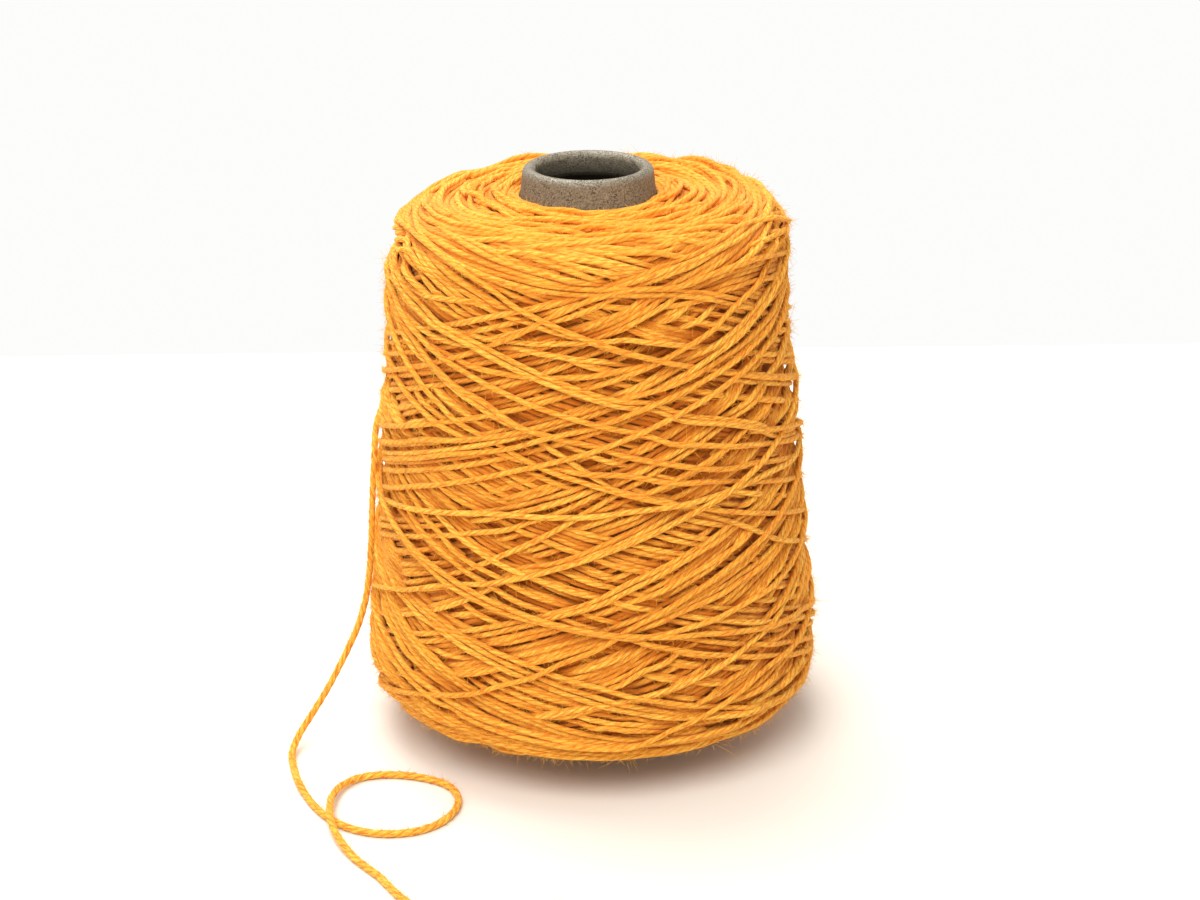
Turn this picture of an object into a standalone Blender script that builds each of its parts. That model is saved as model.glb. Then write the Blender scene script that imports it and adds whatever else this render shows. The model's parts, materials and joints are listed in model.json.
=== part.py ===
# A cone of plied yarn: a conical core of moulded pulp, the cross-wound package of yarn on
# it, and the loose working end, which hangs from the package and lies on the surface.
# Metres, +Z up. The origin is the centre of the core's base, on the surface it stands on.

import math

import bpy
from mathutils import Vector

MM = 0.001

# Core: a tapered tube, thickest at its nose, which ends in a smooth round rim.
CORE_HEIGHT = 170 * MM
CORE_TAPER = math.radians(5.95)  # half angle of the cone
NOSE_RADIUS = 18.8 * MM  # outside, where the round rim begins
RIM_THICKNESS = 4.0 * MM
BASE_WALL = 3.0 * MM
BASE_CHAMFER = 0.4 * MM
RIM_STEPS = 7

# Package: heights and radii over the crests of its ridges.
PACKAGE_FLOOR = 12 * MM  # its lower end stands clear of the surface
PACKAGE_TOP = 163 * MM
TOP_DIP = 0.6 * MM  # the upper end sinks a little towards the core
SHOULDER_WIDTH = 14 * MM
SHOULDER_HEIGHT = 12 * MM
FOOT_WIDTH = 10 * MM
FOOT_HEIGHT = 10 * MM
CORE_GAP = 0.3 * MM
# The flaring side, top to bottom. Each row is a height and the radius there, in mm.
SIDE = [
    (151, 57.4),
    (134, 58.1),
    (118, 58.8),
    (104, 60.0),
    (92, 61.5),
    (80, 61.9),
    (66, 63.1),
    (52, 64.4),
    (40, 65.8),
    (31, 66.4),
    (22, 66.3),
]

# Winding: bands of turns cross at a shallow angle and leave a relief of ridges.
AROUND = 72  # columns of faces round the axis, on the core too
ROW = 2.95 * MM  # rows of faces along the package's outline
BASE_ROWS = 3  # and across its flat lower end
RIDGE_HEIGHT = 1.8 * MM
CREST_SHARPNESS = 1.6
# Each row is a part of the outline, the ridges round the axis, the ridges' spacing along
# the outline in mm, the share of the ridge height, and where round the axis they swell.
BANDS = [
    ("side", 10, 15.0, 1.00, 0.4),
    ("side", -10, 15.0, 1.00, 2.9),
    ("side", 7, 23.0, 0.55, 4.6),
    ("side", -7, 23.0, 0.55, 1.3),
    ("end", 4, 9.0, 0.70, 0.9),
    ("end", -4, 9.0, 0.70, 3.4),
]
NOSE_FADE = 0.33  # the end's bands rise over this share of its width, away from the core
SWELL = 0.10  # how much a band's height varies round the package
SWELL_TWIST = 40.0  # how fast that variation turns, in radians a metre along the outline

# Loose end: a round cord along a smooth curve through the points of its route.
YARN_DIAMETER = 2.2 * MM
YARN_STEP = 5.6 * MM  # the distance between the points of its spline
ROUTE_PIECES = 24  # steps of the smooth curve between two points of the route
YARN_LIES = 1.15  # height of its centre where it lies on the surface, in mm
# The route in mm, from the package to the cut end.
ROUTE = [
    # round the left of the package, then down in front of its flare
    (-62.2, 9.4, 93.6),
    (-62.9, 5.2, 92.5),
    (-63.4, 1.2, 90.6),
    (-63.6, -2.2, 87.4),
    (-63.7, -4.8, 82.9),
    (-64.2, -6.6, 76.4),
    (-64.7, -7.6, 68.6),
    (-65.3, -8.2, 58.6),
    (-66.2, -8.7, 48.6),
    (-67.6, -9.3, 40.2),
    # away to the surface
    (-69.9, -10.2, 32.6),
    (-73.0, -11.6, 25.8),
    (-76.4, -13.4, 19.4),
    (-80.0, -16.2, 13.4),
    (-84.0, -20.4, 8.0),
    (-87.4, -26.4, 4.2),
    (-88.9, -33.6, 2.0),
    # on the surface, into the loop
    (-87.9, -40.6, 1.2),
    (-84.8, -52.7, YARN_LIES),
    (-80.0, -64.6, YARN_LIES),
    (-74.6, -73.2, YARN_LIES),
    (-68.2, -79.2, YARN_LIES),
    (-60.0, -82.5, YARN_LIES),
    (-51.2, -81.9, YARN_LIES),
    (-44.2, -77.6, YARN_LIES),
    (-39.8, -70.2, YARN_LIES),
    (-38.8, -62.0, YARN_LIES),
    (-42.0, -54.2, YARN_LIES),
    (-49.2, -49.2, YARN_LIES),
    (-58.6, -46.8, YARN_LIES),
    (-67.0, -48.4, 1.3),
    (-72.4, -54.4, 1.8),
    # over the first run, and on to the front
    (-74.4, -62.4, 2.8),
    (-74.6, -70.0, 3.6),
    (-74.0, -76.6, 3.7),
    (-72.4, -83.0, 3.0),
    (-70.0, -88.6, 2.1),
    (-66.2, -95.6, 1.3),
    (-62.6, -100.8, YARN_LIES),
    (-58.6, -106.2, YARN_LIES),
    (-55.4, -111.8, YARN_LIES),
    (-51.6, -118.2, YARN_LIES),
    # the short tail past it
    (-46.2, -124.0, YARN_LIES),
    (-38.4, -128.2, YARN_LIES),
    (-28.8, -129.8, YARN_LIES),
    (-19.2, -128.8, YARN_LIES),
    (-11.0, -126.2, YARN_LIES),
]

# Colours as linear red, green and blue.
YARN_GOLD = (0.86, 0.37, 0.018)
PULP_GREY = (0.22, 0.195, 0.16)


def material(name, colour, roughness, metallic=0.0):
    made = bpy.data.materials.new(name)
    made.use_nodes = True
    shader = made.node_tree.nodes["Principled BSDF"]
    shader.inputs["Base Color"].default_value = (*colour, 1.0)
    shader.inputs["Roughness"].default_value = roughness
    shader.inputs["Metallic"].default_value = metallic
    return made


def core_radius(height):
    """The core's outer radius at a height."""
    return NOSE_RADIUS + (CORE_HEIGHT - RIM_THICKNESS / 2 - height) * math.tan(CORE_TAPER)


def core_outline():
    """The core's section as radius and height, down its outside and up its bore."""
    base = core_radius(0)
    points = [
        (base, BASE_CHAMFER),
        (base - BASE_CHAMFER, 0),
        (base - BASE_WALL + BASE_CHAMFER, 0),
        (base - BASE_WALL, BASE_CHAMFER),
    ]
    bead = RIM_THICKNESS / 2
    for step in range(RIM_STEPS + 1):
        turn = math.pi * (1 - step / RIM_STEPS)
        radius = NOSE_RADIUS - bead + bead * math.cos(turn)
        points.append((radius, CORE_HEIGHT - bead + bead * math.sin(turn)))
    return points


def smooth_between(rows, value):
    """A smooth curve through (position, value) rows whose positions fall, read at a position."""
    for index in range(len(rows) - 1):
        if value >= rows[index + 1][0]:
            break
    before = rows[max(index - 1, 0)]
    start = rows[index]
    end = rows[index + 1]
    after = rows[min(index + 2, len(rows) - 1)]
    span = end[0] - start[0]
    share = (value - start[0]) / span
    start_slope = (end[1] - before[1]) / (end[0] - before[0])
    end_slope = (after[1] - start[1]) / (after[0] - start[0])
    cube = share ** 3
    square = share ** 2
    return (
        (2 * cube - 3 * square + 1) * start[1]
        + (cube - 2 * square + share) * span * start_slope
        + (3 * square - 2 * cube) * end[1]
        + (cube - square) * span * end_slope
    )


def evenly(count):
    """The shares of a stretch at the ends of its rows, without the first."""
    return [step / count for step in range(1, count + 1)]


def rows_in(length):
    """The rows of faces along a stretch of the outline."""
    return round(length / ROW)


def package_outline():
    """The package's section over its crests, down its outside.

    Each point is a radius, a height, and how far the side's and the ends' bands show there.
    """
    side_top, side_bottom = SIDE[0][0] * MM, SIDE[-1][0] * MM
    shoulder_radius = SIDE[0][1] * MM - SHOULDER_WIDTH
    foot_radius = SIDE[-1][1] * MM - FOOT_WIDTH
    inner_top = PACKAGE_TOP - TOP_DIP
    core_top = core_radius(inner_top) + CORE_GAP
    core_bottom = core_radius(PACKAGE_FLOOR) + CORE_GAP
    quarter = math.pi / 2

    points = [(core_top, inner_top, 0.0, 0.0)]
    for share in evenly(rows_in(shoulder_radius - core_top)):
        radius = core_top + (shoulder_radius - core_top) * share
        points.append((radius, inner_top + TOP_DIP * share, 0.0, min(1.0, share / NOSE_FADE)))
    for share in evenly(rows_in(quarter * (SHOULDER_WIDTH + SHOULDER_HEIGHT) / 2)):
        radius = shoulder_radius + SHOULDER_WIDTH * math.sin(quarter * share)
        height = side_top + SHOULDER_HEIGHT * math.cos(quarter * share)
        points.append((radius, height, share, 1.0 - share))
    for share in evenly(rows_in(side_top - side_bottom)):
        height = side_top + (side_bottom - side_top) * share
        points.append((smooth_between(SIDE, height / MM) * MM, height, 1.0, 0.0))
    for share in evenly(rows_in(quarter * (FOOT_WIDTH + FOOT_HEIGHT) / 2)):
        radius = foot_radius + FOOT_WIDTH * math.cos(quarter * share)
        height = side_bottom - FOOT_HEIGHT * math.sin(quarter * share)
        points.append((radius, height, 1.0 - share, 0.0))
    for share in evenly(BASE_ROWS):
        radius = foot_radius + (core_bottom - foot_radius) * share
        points.append((radius, PACKAGE_FLOOR, 0.0, 0.0))
    return points


def ridge(along, turn, side_share, end_share):
    """The relief's height at a point, from 0 in the hollows to 1 on the highest crest."""
    highest = 0.0
    for part, count, spacing, height, swell_at in BANDS:
        phase = abs(count) * turn + math.copysign(1, count) * math.tau * along / (spacing * MM)
        crest = (0.5 + 0.5 * math.cos(phase)) ** CREST_SHARPNESS
        swell = 1 - SWELL + SWELL * math.cos(2 * turn + swell_at + SWELL_TWIST * along)
        shown = side_share if part == "side" else end_share
        highest = max(highest, crest * height * swell * shown)
    return highest


def turned(name, outline, collection):
    """A closed section of (radius, height) points turned once round Z, as a mesh object."""
    section = bpy.data.meshes.new(name)
    corners = [(radius, 0, height) for radius, height in outline]
    edges = [(index, (index + 1) % len(corners)) for index in range(len(corners))]
    section.from_pydata(corners, edges, [])
    turning = bpy.data.objects.new(name, section)
    collection.objects.link(turning)
    screw = turning.modifiers.new("Turn", "SCREW")
    screw.axis = "Z"
    screw.steps = AROUND
    screw.render_steps = AROUND
    screw.use_merge_vertices = True
    screw.merge_threshold = 0.00005
    screw.use_normal_calculate = False
    return turning


def as_mesh(turning):
    """The object's evaluated mesh in place of its section, so that its points can be moved."""
    depsgraph = bpy.context.evaluated_depsgraph_get()
    made = bpy.data.meshes.new_from_object(turning.evaluated_get(depsgraph))
    turning.modifiers.clear()
    turning.data = made


def raise_winding(package, outline):
    """Sinks the points between the crests, square to the outline."""
    along = [0.0]
    outward = []
    for index in range(len(outline)):
        before = outline[max(index - 1, 0)]
        after = outline[min(index + 1, len(outline) - 1)]
        slope = Vector((after[0] - before[0], after[1] - before[1])).normalized()
        outward.append(Vector((-slope.y, slope.x)))
        along.append(along[-1] + math.dist(outline[index][:2], after[:2]))
    # The turned mesh lists the section's points in their order, once for each step.
    for vertex in package.data.vertices:
        index = vertex.index % len(outline)
        radius, height, side_share, end_share = outline[index]
        turn = math.atan2(vertex.co.y, vertex.co.x)
        relief = ridge(along[index], turn, side_share, end_share)
        depth = RIDGE_HEIGHT * (max(side_share, end_share) - relief)
        sunk_radius = radius - outward[index].x * depth
        vertex.co.x *= sunk_radius / radius
        vertex.co.y *= sunk_radius / radius
        vertex.co.z = height - outward[index].y * depth


def smooth_route(points, step):
    """Points a step apart along a smooth curve through the route's own points."""
    fine = []
    for index in range(len(points) - 1):
        before = points[max(index - 1, 0)]
        start = points[index]
        end = points[index + 1]
        after = points[min(index + 2, len(points) - 1)]
        for piece in range(ROUTE_PIECES):
            share = piece / ROUTE_PIECES
            fine.append(
                0.5 * (
                    2 * start
                    + (end - before) * share
                    + (2 * before - 5 * start + 4 * end - after) * share ** 2
                    + (3 * start - before - 3 * end + after) * share ** 3
                )
            )
    fine.append(points[-1])
    travelled = [0.0]
    for before, after in zip(fine, fine[1:]):
        travelled.append(travelled[-1] + (after - before).length)
    count = round(travelled[-1] / step)
    even = [fine[0]]
    index = 0
    for number in range(1, count):
        target = travelled[-1] * number / count
        while travelled[index + 1] < target:
            index += 1
        share = (target - travelled[index]) / (travelled[index + 1] - travelled[index])
        even.append(fine[index].lerp(fine[index + 1], share))
    even.append(fine[-1])
    return even


def make_core(collection):
    core = turned("core", core_outline(), collection)
    as_mesh(core)
    core.data.materials.append(material("moulded pulp", PULP_GREY, 0.8))
    core.data.shade_smooth()
    core.data.set_sharp_from_angle(angle=math.radians(35))


def make_package(collection):
    outline = package_outline()
    package = turned("yarn_package", [point[:2] for point in outline], collection)
    as_mesh(package)
    raise_winding(package, outline)
    package.data.materials.append(material("wound yarn", YARN_GOLD, 0.9))
    package.data.shade_smooth()
    package.data.set_sharp_from_angle(angle=math.radians(60))


def make_loose_end(collection):
    curve = bpy.data.curves.new("loose_end", "CURVE")
    curve.dimensions = "3D"
    curve.bevel_depth = YARN_DIAMETER / 2
    curve.bevel_resolution = 2
    curve.use_fill_caps = True
    points = smooth_route([Vector(point) * MM for point in ROUTE], YARN_STEP)
    spline = curve.splines.new("POLY")
    spline.points.add(len(points) - 1)
    for spot, point in zip(spline.points, points):
        spot.co = (*point, 1.0)
    curve.materials.append(material("loose yarn", YARN_GOLD, 0.9))
    collection.objects.link(bpy.data.objects.new("loose_end", curve))


def main():
    for old in list(bpy.data.objects):
        bpy.data.objects.remove(old, do_unlink=True)
    collection = bpy.data.collections.new("cone of yarn")
    bpy.context.scene.collection.children.link(collection)
    make_core(collection)
    make_package(collection)
    make_loose_end(collection)


main()
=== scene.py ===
import json
import math

import bpy
import numpy as np
from mathutils import Matrix, Vector, noise

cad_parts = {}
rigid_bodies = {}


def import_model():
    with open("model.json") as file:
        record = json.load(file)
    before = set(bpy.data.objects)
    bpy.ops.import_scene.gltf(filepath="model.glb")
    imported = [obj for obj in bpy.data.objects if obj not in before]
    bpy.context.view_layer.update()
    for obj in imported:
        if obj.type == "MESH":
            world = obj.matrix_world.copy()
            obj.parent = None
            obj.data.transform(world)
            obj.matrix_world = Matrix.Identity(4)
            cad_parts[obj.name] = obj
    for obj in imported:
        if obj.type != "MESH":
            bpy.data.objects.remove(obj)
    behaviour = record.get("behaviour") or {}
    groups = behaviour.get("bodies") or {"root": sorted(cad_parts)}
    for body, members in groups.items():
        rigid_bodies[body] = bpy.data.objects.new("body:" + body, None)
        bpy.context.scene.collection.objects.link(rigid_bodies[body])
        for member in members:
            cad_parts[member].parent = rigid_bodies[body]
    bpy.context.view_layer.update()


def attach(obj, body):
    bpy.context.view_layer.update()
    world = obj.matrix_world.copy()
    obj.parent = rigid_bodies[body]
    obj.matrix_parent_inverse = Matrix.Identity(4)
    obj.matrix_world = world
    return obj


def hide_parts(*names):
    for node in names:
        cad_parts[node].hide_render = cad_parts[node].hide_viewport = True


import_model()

# Plans are in millimetres and degrees; a mesh gets its metres as it is made.
mm = 0.001
fullTurn = 2 * math.pi
draw = np.random.default_rng(41)  # one seeded source for every random choice


# small helpers for node trees and meshes

def addNode(tree, kind, inputs=None, **settings):
    made = tree.nodes.new(kind)
    for name, value in settings.items():
        setattr(made, name, value)
    for key, value in (inputs or {}).items():
        if isinstance(value, bpy.types.NodeSocket):
            tree.links.new(value, made.inputs[key])
        else:
            made.inputs[key].default_value = value
    return made


def mathNode(tree, operation, *values):
    return addNode(tree, "ShaderNodeMath", dict(enumerate(values)), operation=operation).outputs[0]


def times(tree, *values):
    return mathNode(tree, "MULTIPLY", *values)


def timesPlus(tree, *values):
    return mathNode(tree, "MULTIPLY_ADD", *values)


def mapRange(tree, *values):
    # a value, the range that it has, and the range that it gets
    return addNode(tree, "ShaderNodeMapRange", dict(enumerate(values))).outputs[0]


def noiseNode(tree, spot, scale, detail, roughness=0.5):
    return addNode(tree, "ShaderNodeTexNoise", {
        "Vector": spot, "Scale": scale, "Detail": detail, "Roughness": roughness,
    }).outputs[0]


def bumpNode(tree, height, strength, depth, **under):
    inputs = {"Height": height, "Strength": strength, "Distance": depth * mm, **under}
    return addNode(tree, "ShaderNodeBump", inputs).outputs[0]


def paired(tree, first, second):
    return addNode(tree, "ShaderNodeCombineXYZ", {0: first, 1: second}).outputs[0]


def partsOf(tree, spot):
    return addNode(tree, "ShaderNodeSeparateXYZ", {0: spot}).outputs


def objectSpot(tree):
    return addNode(tree, "ShaderNodeTexCoord").outputs["Object"]


def attributeNode(tree, name):
    return addNode(tree, "ShaderNodeAttribute", attribute_name=name).outputs["Fac"]


def mixColours(tree, share, first, second):
    made = addNode(tree, "ShaderNodeMix", {0: share, 6: first, 7: second}, data_type="RGBA")
    return made.outputs[2]


def newFinish(name, roughness=0.5, specular=0.5):
    finish = bpy.data.materials.new(name)
    finish.use_nodes = True
    look = finish.node_tree.nodes["Principled BSDF"].inputs
    look["Roughness"].default_value = roughness
    look["Specular IOR Level"].default_value = specular
    return finish, finish.node_tree, look


def place(name, data):
    made = bpy.data.objects.new(name, data)
    bpy.context.scene.collection.objects.link(made)
    return made


def meshPiece(name, corners, edges, faces=()):
    mesh = bpy.data.meshes.new(name)
    mesh.from_pydata(corners, edges, faces)
    return place(name, mesh)


def plainMesh(carrier, name):
    # the carrier's evaluated mesh becomes a plain one, and the carrier goes
    depsgraph = bpy.context.evaluated_depsgraph_get()
    mesh = bpy.data.meshes.new_from_object(carrier.evaluated_get(depsgraph))
    mesh.name = name
    carrier.modifiers.clear()
    bpy.data.objects.remove(carrier, do_unlink=True)
    return place(name, mesh)


def runNodes(carrier, tree, values, name):
    modifier = carrier.modifiers.new("Nodes", "NODES")
    modifier.node_group = tree
    for item in tree.interface.items_tree:
        if item.name in values:
            modifier[item.identifier] = values[item.name]
    return plainMesh(carrier, name)


def unit(vectors):
    return vectors / np.linalg.norm(vectors, axis=1, keepdims=True)


def smoothed(values, reach):
    weights = np.hanning(2 * reach + 1)
    return np.convolve(np.pad(values, reach, mode="edge"), weights / weights.sum(), mode="valid")


def travelled(steps):
    return np.concatenate([[0], np.cumsum(steps)])


def seat(piece):
    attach(piece, "root")
    return piece


# camera, floor and light

view = {
    "lens": 84.0,
    "frameWide": 36.0,
    "near": 10.0,  # nothing nearer than this is drawn
    "place": (2.5955, -774.385, 372.715),
    "down": 20.485,
    "roll": -0.598,
}


def setCamera():
    camera = bpy.data.cameras.new("camera")
    camera.lens = view["lens"]
    camera.sensor_width = view["frameWide"]
    camera.clip_start = view["near"] * mm
    holder = place("camera", camera)
    tilt = Matrix.Rotation(math.radians(90 - view["down"]), 4, "X")
    roll = Matrix.Rotation(math.radians(view["roll"]), 4, "Z")
    holder.matrix_world = Matrix.Translation(Vector(view["place"]) * mm) @ tilt @ roll
    bpy.context.scene.camera = holder


studio = {
    "floorNear": -1600.0,
    "floorFar": 343.0,  # the floor ends where the photo's wall begins
    "floorWide": 1800.0,
    "floorColour": (0.84, 0.815, 0.775, 1.0),
    "floorRoughness": 0.75,
    "skySeen": (0.975, 0.985, 0.97, 1.0),
    "skyLight": (0.715, 0.69, 0.65, 1.0),
    "lamps": [  # name, place and target in mm, size in mm, watts, colour
        ("above and behind", (-190, 380, 900), (0, 0, 90), 800, 8.6, (1.0, 0.975, 0.925)),
        ("above in front", (-160, -600, 820), (0, 0, 60), 800, 7.5, (1.0, 0.975, 0.925)),
    ],
}


def makeStudio():
    wide, near, far = (studio[key] * mm for key in ("floorWide", "floorNear", "floorFar"))
    corners = [(-wide, near, 0), (wide, near, 0), (wide, far, 0), (-wide, far, 0)]
    floor = meshPiece("floor", corners, [], [(0, 1, 2, 3)])
    finish, tree, look = newFinish("pale floor", studio["floorRoughness"])
    look["Base Color"].default_value = studio["floorColour"]
    floor.data.materials.append(finish)

    world = bpy.data.worlds.new("studio")
    bpy.context.scene.world = world
    world.use_nodes = True
    tree = world.node_tree
    seen = addNode(tree, "ShaderNodeLightPath").outputs["Is Camera Ray"]
    tint = mixColours(tree, seen, studio["skyLight"], studio["skySeen"])
    tree.links.new(tint, tree.nodes["Background"].inputs["Color"])

    for name, spot, target, size, watts, colour in studio["lamps"]:
        lamp = bpy.data.lights.new(name, "AREA")
        lamp.shape = "DISK"
        lamp.size = size * mm
        lamp.energy = watts
        lamp.color = colour
        away = (Vector(spot) - Vector(target)).normalized()
        turned = away.to_track_quat("Z", "Y").to_matrix().to_4x4()
        place(name, lamp).matrix_world = Matrix.Translation(Vector(spot) * mm) @ turned
    bpy.context.scene.view_settings.view_transform = "Standard"


setCamera()
makeStudio()
print("camera, floor and light")


# yarn: three plies with an S twist

yarn = {
    "woundRadius": 0.83,  # drawn thinner by the tension of the winding
    "looseRadius": 1.03,
    "plies": 3,
    "pitch": 10.0,  # length of one turn of the plies
    "plyDepth": 0.07,  # share of the radius between a ply's crest and the mean
    "finish": (0.85, 0.22),  # roughness and specular level
    "plyBump": (0.6, 0.09),  # strength and depth
    "hairBump": (0.75, 0.34),
    "hairTwist": -0.5,  # hairs turn half as fast round the yarn as its plies do
    "hairs": (1.2, 5.0),  # their pattern over a pitch and round the yarn
    "hairNoise": (2.2, 1.5, 0.6),  # scale, detail and roughness
    "hairTone": 4.4,
    "creaseShading": (0.50, 0.39, 0.0, 0.95),  # painted shade: fine dark lines in the creases between the hairs
    "blotches": 0.55,  # their pattern over a pitch
    "blotchNoise": (1.6, 1.0),
    "grooveShading": (-1.0, -0.2, 1.0, 0.0),  # painted shade, dark from the bottom of a ply's groove up
    "grooveBlotches": (1.1, 0.1),  # factor and term by which blotches weaken a groove's painted shade
    "paintedShadeHairs": (2.2, -0.25),  # and by which hairs break up the painted shade of deep yarn
    "toneShares": (0.55, 0.45),  # of the blotches and of each run's own shade
    "smoothedTop": (0.156, 0.163, 1.0, 0.5),  # by height: on the upper end the hairs show less contrast and their painted creases fade
    # by which the colour turns darker on the upper end
    "topTone": 0.7,
    "gold": (1.0, 0.72, 0.116, 1.0),
    "deepGold": (0.90, 0.35, 0.032, 1.0),
    # colours of painted shade in the ply grooves and in the creases between the hairs
    "groove": (0.70, 0.20, 0.012, 1.0),
    "crease": (0.66, 0.17, 0.010, 1.0),
    "buried": (0.55, 0.145, 0.006, 1.0),  # painted shade where the yarn lies deep, in the colour of the light that yarn lets through
    "sheen": {"Weight": 0.35, "Roughness": 0.45, "Tint": (1.0, 0.72, 0.30, 1.0)},
    "fibre": (1.0, 0.60, 0.09, 1.0),
}
tipThickness = 0.01  # of a length's ends, so that they close


def yarnFinish():
    finish, tree, look = newFinish("golden yarn", *yarn["finish"])
    mapped = addNode(tree, "ShaderNodeUVMap", uv_map="UVMap").outputs[0]
    length, around, _ = partsOf(tree, mapped)  # one unit of each is one pitch and one turn
    hairTurn = timesPlus(tree, length, yarn["hairTwist"], around)
    spot = [times(tree, *given) for given in zip((length, hairTurn), yarn["hairs"])]
    hairs = noiseNode(tree, paired(tree, *spot), *yarn["hairNoise"])
    spot = paired(tree, times(tree, length, yarn["blotches"]), around)
    blotches = noiseNode(tree, spot, *yarn["blotchNoise"])
    wave = mathNode(tree, "COSINE", times(tree, around, fullTurn * yarn["plies"]))
    crisp = mapRange(tree, partsOf(tree, objectSpot(tree))[2], *yarn["smoothedTop"])

    tone = times(tree, attributeNode(tree, "shade"), yarn["toneShares"][1])
    tone = timesPlus(tree, blotches, yarn["toneShares"][0], tone)
    contrast = times(tree, crisp, yarn["hairTone"])
    tone = timesPlus(tree, mathNode(tree, "SUBTRACT", hairs, 0.5), contrast, tone)
    tone = timesPlus(tree, mathNode(tree, "SUBTRACT", 1.0, crisp), yarn["topTone"], tone)
    # painted shade in the ply grooves, weaker where blotches are
    grooveShading = times(tree, mapRange(tree, wave, *yarn["grooveShading"]),
                    timesPlus(tree, blotches, *yarn["grooveBlotches"]))
    # painted shade in the fine creases between the hairs, less on the upper end
    creaseShading = times(tree, mapRange(tree, hairs, *yarn["creaseShading"]), crisp)
    # painted shade where the yarn lies deep, broken up by its hairs
    darkHairs = timesPlus(tree, hairs, *yarn["paintedShadeHairs"])
    deep = times(tree, attributeNode(tree, "deep"), darkHairs)
    colour = mixColours(tree, tone, yarn["gold"], yarn["deepGold"])
    for share, key in ((grooveShading, "groove"), (creaseShading, "crease"), (deep, "buried")):
        colour = mixColours(tree, share, colour, yarn[key])
    tree.links.new(colour, look["Base Color"])

    for key, value in yarn["sheen"].items():
        look["Sheen " + key].default_value = value
    plies = bumpNode(tree, wave, *yarn["plyBump"])
    tree.links.new(bumpNode(tree, hairs, *yarn["hairBump"], Normal=plies), look["Normal"])
    return finish


def captured(tree, geometry, field, name):
    made = addNode(tree, "GeometryNodeCaptureAttribute", {"Geometry": geometry})
    made.capture_items.new("FLOAT", name)
    tree.links.new(field, made.inputs[name])
    return made.outputs["Geometry"], made.outputs[name]


def yarnTree(name, finish):
    tree = bpy.data.node_groups.new(name, "GeometryNodeTree")
    face = tree.interface
    face.new_socket("Route", in_out="INPUT", socket_type="NodeSocketGeometry")
    for label in ("Radius", "Ply depth", "Ply pitch", "Twisted"):
        face.new_socket(label, in_out="INPUT", socket_type="NodeSocketFloat")
    face.new_socket("Section points", in_out="INPUT", socket_type="NodeSocketInt")
    face.new_socket("Yarn", in_out="OUTPUT", socket_type="NodeSocketGeometry")
    given = addNode(tree, "NodeGroupInput").outputs

    line = addNode(tree, "GeometryNodeMeshToCurve", {"Mesh": given["Route"]}).outputs[0]
    spline = addNode(tree, "GeometryNodeSplineParameter").outputs
    line, length = captured(tree, line, spline["Length"], "Length")
    thick, phase = (addNode(tree, "GeometryNodeInputNamedAttribute", {"Name": key}).outputs[0]
                    for key in ("thick", "phase"))
    rail = addNode(tree, "GeometryNodeSetCurveRadius", {
        "Curve": line, "Radius": times(tree, given["Radius"], thick),
    }).outputs[0]
    twist = mathNode(tree, "DIVIDE", times(tree, length, fullTurn), given["Ply pitch"])
    twist = times(tree, twist, given["Twisted"])
    rail = addNode(tree, "GeometryNodeSetCurveTilt", {
        "Curve": rail, "Tilt": mathNode(tree, "SUBTRACT", phase, twist),
    }).outputs[0]

    # the section: an open ring whose ends meet, so that the pattern has its seam there
    ring = addNode(tree, "GeometryNodeCurveArc", {
        "Resolution": mathNode(tree, "ADD", given["Section points"], 1.0),
        "Radius": 1.0, "Start Angle": 0.0, "Sweep Angle": fullTurn,
    })
    section, around = captured(tree, ring.outputs["Curve"], spline["Factor"], "Around")
    crest = mathNode(tree, "COSINE", times(tree, spline["Factor"], fullTurn * yarn["plies"]))
    reach = timesPlus(tree, crest, given["Ply depth"], 1.0)
    spot = addNode(tree, "GeometryNodeInputPosition").outputs[0]
    grown = addNode(tree, "ShaderNodeVectorMath", {0: spot, "Scale": reach}, operation="SCALE")
    section = addNode(tree, "GeometryNodeSetPosition", {
        "Geometry": section, "Position": grown.outputs[0],
    }).outputs[0]

    swept = addNode(tree, "GeometryNodeCurveToMesh", {
        "Curve": rail, "Profile Curve": section,
        "Scale": addNode(tree, "GeometryNodeInputRadius").outputs[0],
    }).outputs[0]
    pitches = mathNode(tree, "DIVIDE", length, given["Ply pitch"])
    untwisted = mathNode(tree, "SUBTRACT", 1.0, given["Twisted"])
    uv = paired(tree, pitches, timesPlus(tree, pitches, untwisted, around))
    mapped = addNode(tree, "GeometryNodeStoreNamedAttribute", {
        "Geometry": swept, "Name": "UVMap", "Value": uv,
    }, data_type="FLOAT2", domain="CORNER").outputs[0]
    closed = addNode(tree, "GeometryNodeMergeByDistance",
                     {"Geometry": mapped, "Distance": 0.00002}).outputs[0]
    smooth = addNode(tree, "GeometryNodeSetShadeSmooth", {"Geometry": closed}).outputs[0]
    real = addNode(tree, "GeometryNodeRealizeInstances", {"Geometry": smooth}).outputs[0]
    dressed = addNode(tree, "GeometryNodeSetMaterial", {"Geometry": real, "Material": finish})
    addNode(tree, "NodeGroupOutput", {"Yarn": dressed.outputs[0]})
    return tree


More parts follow.
